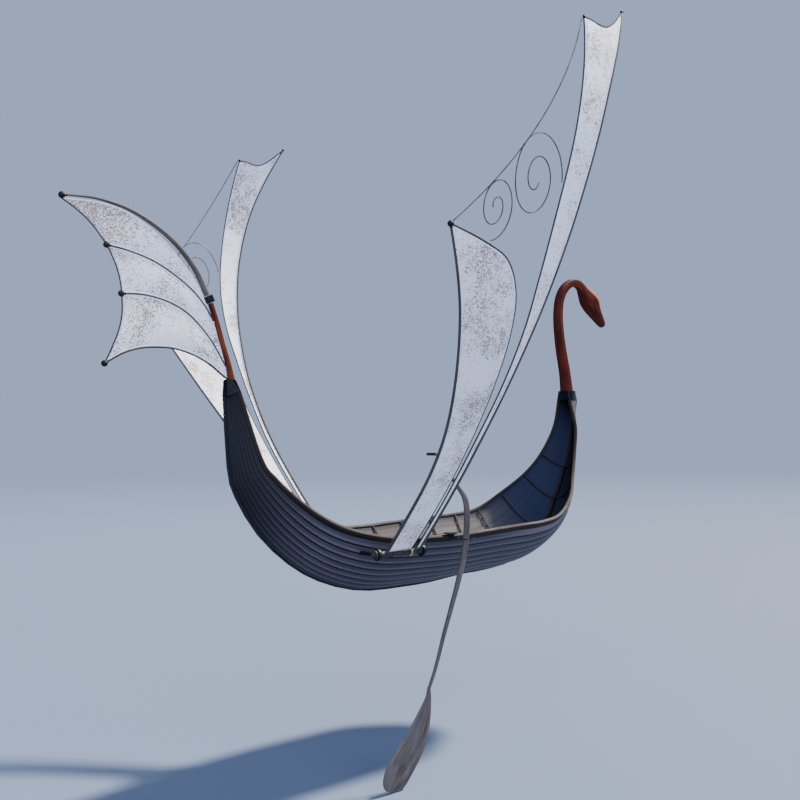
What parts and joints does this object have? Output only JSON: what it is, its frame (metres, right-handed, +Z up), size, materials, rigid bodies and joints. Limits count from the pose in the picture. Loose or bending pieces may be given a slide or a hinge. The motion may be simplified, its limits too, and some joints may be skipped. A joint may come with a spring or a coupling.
{
  "type": "winged swan-headed clinker rowing boat",
  "caption": "Double-ended clinker rowing boat with a carved swan's neck and head, hinged sail wings, a fan of sailcloth over the stern and a curved steering oar in a ring.",
  "frame": {"origin": "amidships on the centreline, on the underside of the keel", "axes": "+X towards the bow, +Y to port, +Z up"},
  "size_m": [8.5013, 6.723, 8.2808],
  "materials": {
    "planking": "weathered slate-grey stained planks",
    "keel": "dark stained, matt",
    "rail": "worn brown, matt",
    "frames": "dark, matt",
    "red_wood": "red-stained, oiled, worn to orange at the edges",
    "black_iron": "black, satin",
    "roller": "pale grey, worn",
    "spar": "blue-grey stained, matt",
    "edge_rod": "grey, matt",
    "wire": "brown, matt",
    "sailcloth": "off-white, speckled with brown stains",
    "oar_wood": "weathered grey-tan"
  },
  "bodies": {
    "hull": {"bow_cap": "black_iron", "gunwale_port": "rail", "gunwale_starboard": "rail", "keel_and_posts": "keel", "oarlock_clamp": "black_iron", "planking_port": "planking", "planking_starboard": "planking", "port_bracket_aft": "black_iron", "port_bracket_fore": "black_iron", "ribs_and_keelson": "frames", "starboard_bracket_aft": "black_iron", "starboard_bracket_fore": "black_iron", "stern_cap": "black_iron", "stern_post": "red_wood", "swan_head": "red_wood", "swan_neck": "red_wood", "tail_band": "black_iron", "tail_foot_rod": "edge_rod", "tail_lower_batten": "edge_rod", "tail_sail_lower": "sailcloth", "tail_sail_middle": "sailcloth", "tail_sail_upper": "sailcloth", "tail_spar": "spar", "tail_upper_batten": "edge_rod"},
    "wing_starboard": {"starboard_aft_edge_rod": "edge_rod", "starboard_aft_sail": "sailcloth", "starboard_aft_spar": "spar", "starboard_fore_edge_rod": "edge_rod", "starboard_fore_sail": "sailcloth", "starboard_fore_spar": "spar", "starboard_wing_roller": "roller", "starboard_wire": "wire"},
    "wing_port": {"port_aft_edge_rod": "edge_rod", "port_aft_sail": "sailcloth", "port_aft_spar": "spar", "port_fore_edge_rod": "edge_rod", "port_fore_sail": "sailcloth", "port_fore_spar": "spar", "port_wing_roller": "roller", "port_wire": "wire"},
    "oarlock": {"oarlock_ring": "black_iron"},
    "oar": {"oar_shaft": "oar_wood", "oar_blade": "oar_wood", "oar_grip": "black_iron"}
  },
  "joints": [
    {"name": "starboard_wing_hinge", "type": "hinge", "parent": "hull", "child": "wing_starboard", "pos_m": [-1.2, -0.855, 0.566], "axis": [1, 0, 0], "range_deg": [-8, 50]},
    {"name": "port_wing_hinge", "type": "hinge", "parent": "hull", "child": "wing_port", "pos_m": [-1.2, 0.855, 0.566], "axis": [-1, 0, 0], "range_deg": [-8, 50]},
    {"name": "oarlock_swing", "type": "hinge", "parent": "hull", "child": "oarlock", "pos_m": [-0.47, -1, 0.69], "axis": [0, 1, 0], "range_deg": [-30, 30]},
    {"name": "oar_feather", "type": "hinge", "parent": "oarlock", "child": "oar", "pos_m": [-0.47, -1.16, 0.69], "axis": [0.151, 0, 0.9885], "range_deg": [-45, 45]}
  ]
}
